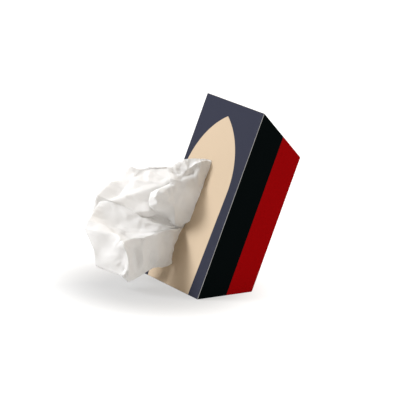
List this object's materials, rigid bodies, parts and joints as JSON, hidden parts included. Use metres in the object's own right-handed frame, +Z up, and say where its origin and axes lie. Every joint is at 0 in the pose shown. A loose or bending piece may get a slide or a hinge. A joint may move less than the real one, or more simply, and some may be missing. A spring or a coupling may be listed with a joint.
{
  "type": "tissue box",
  "caption": "Paperboard tissue box shaped like a ship's hull standing on its stern, with a slot in the front face and a crumpled tissue drawn out of it.",
  "frame": {"origin": "middle of the raked end panel that the box stands on, on its outer face", "axes": "+Z up from the foot, -Y the way the slot face looks, +X along the width of the slot face, to the right for someone who looks at it"},
  "size_m": [0.1305, 0.2257, 0.2161],
  "materials": {
    "printed_board": "satin print on paperboard",
    "tissue_paper": "soft, matt"
  },
  "bodies": {
    "root": {"carton": "printed_board", "tissue_pile": "tissue_paper", "drawn_tissue": "tissue_paper"}
  },
  "joints": []
}
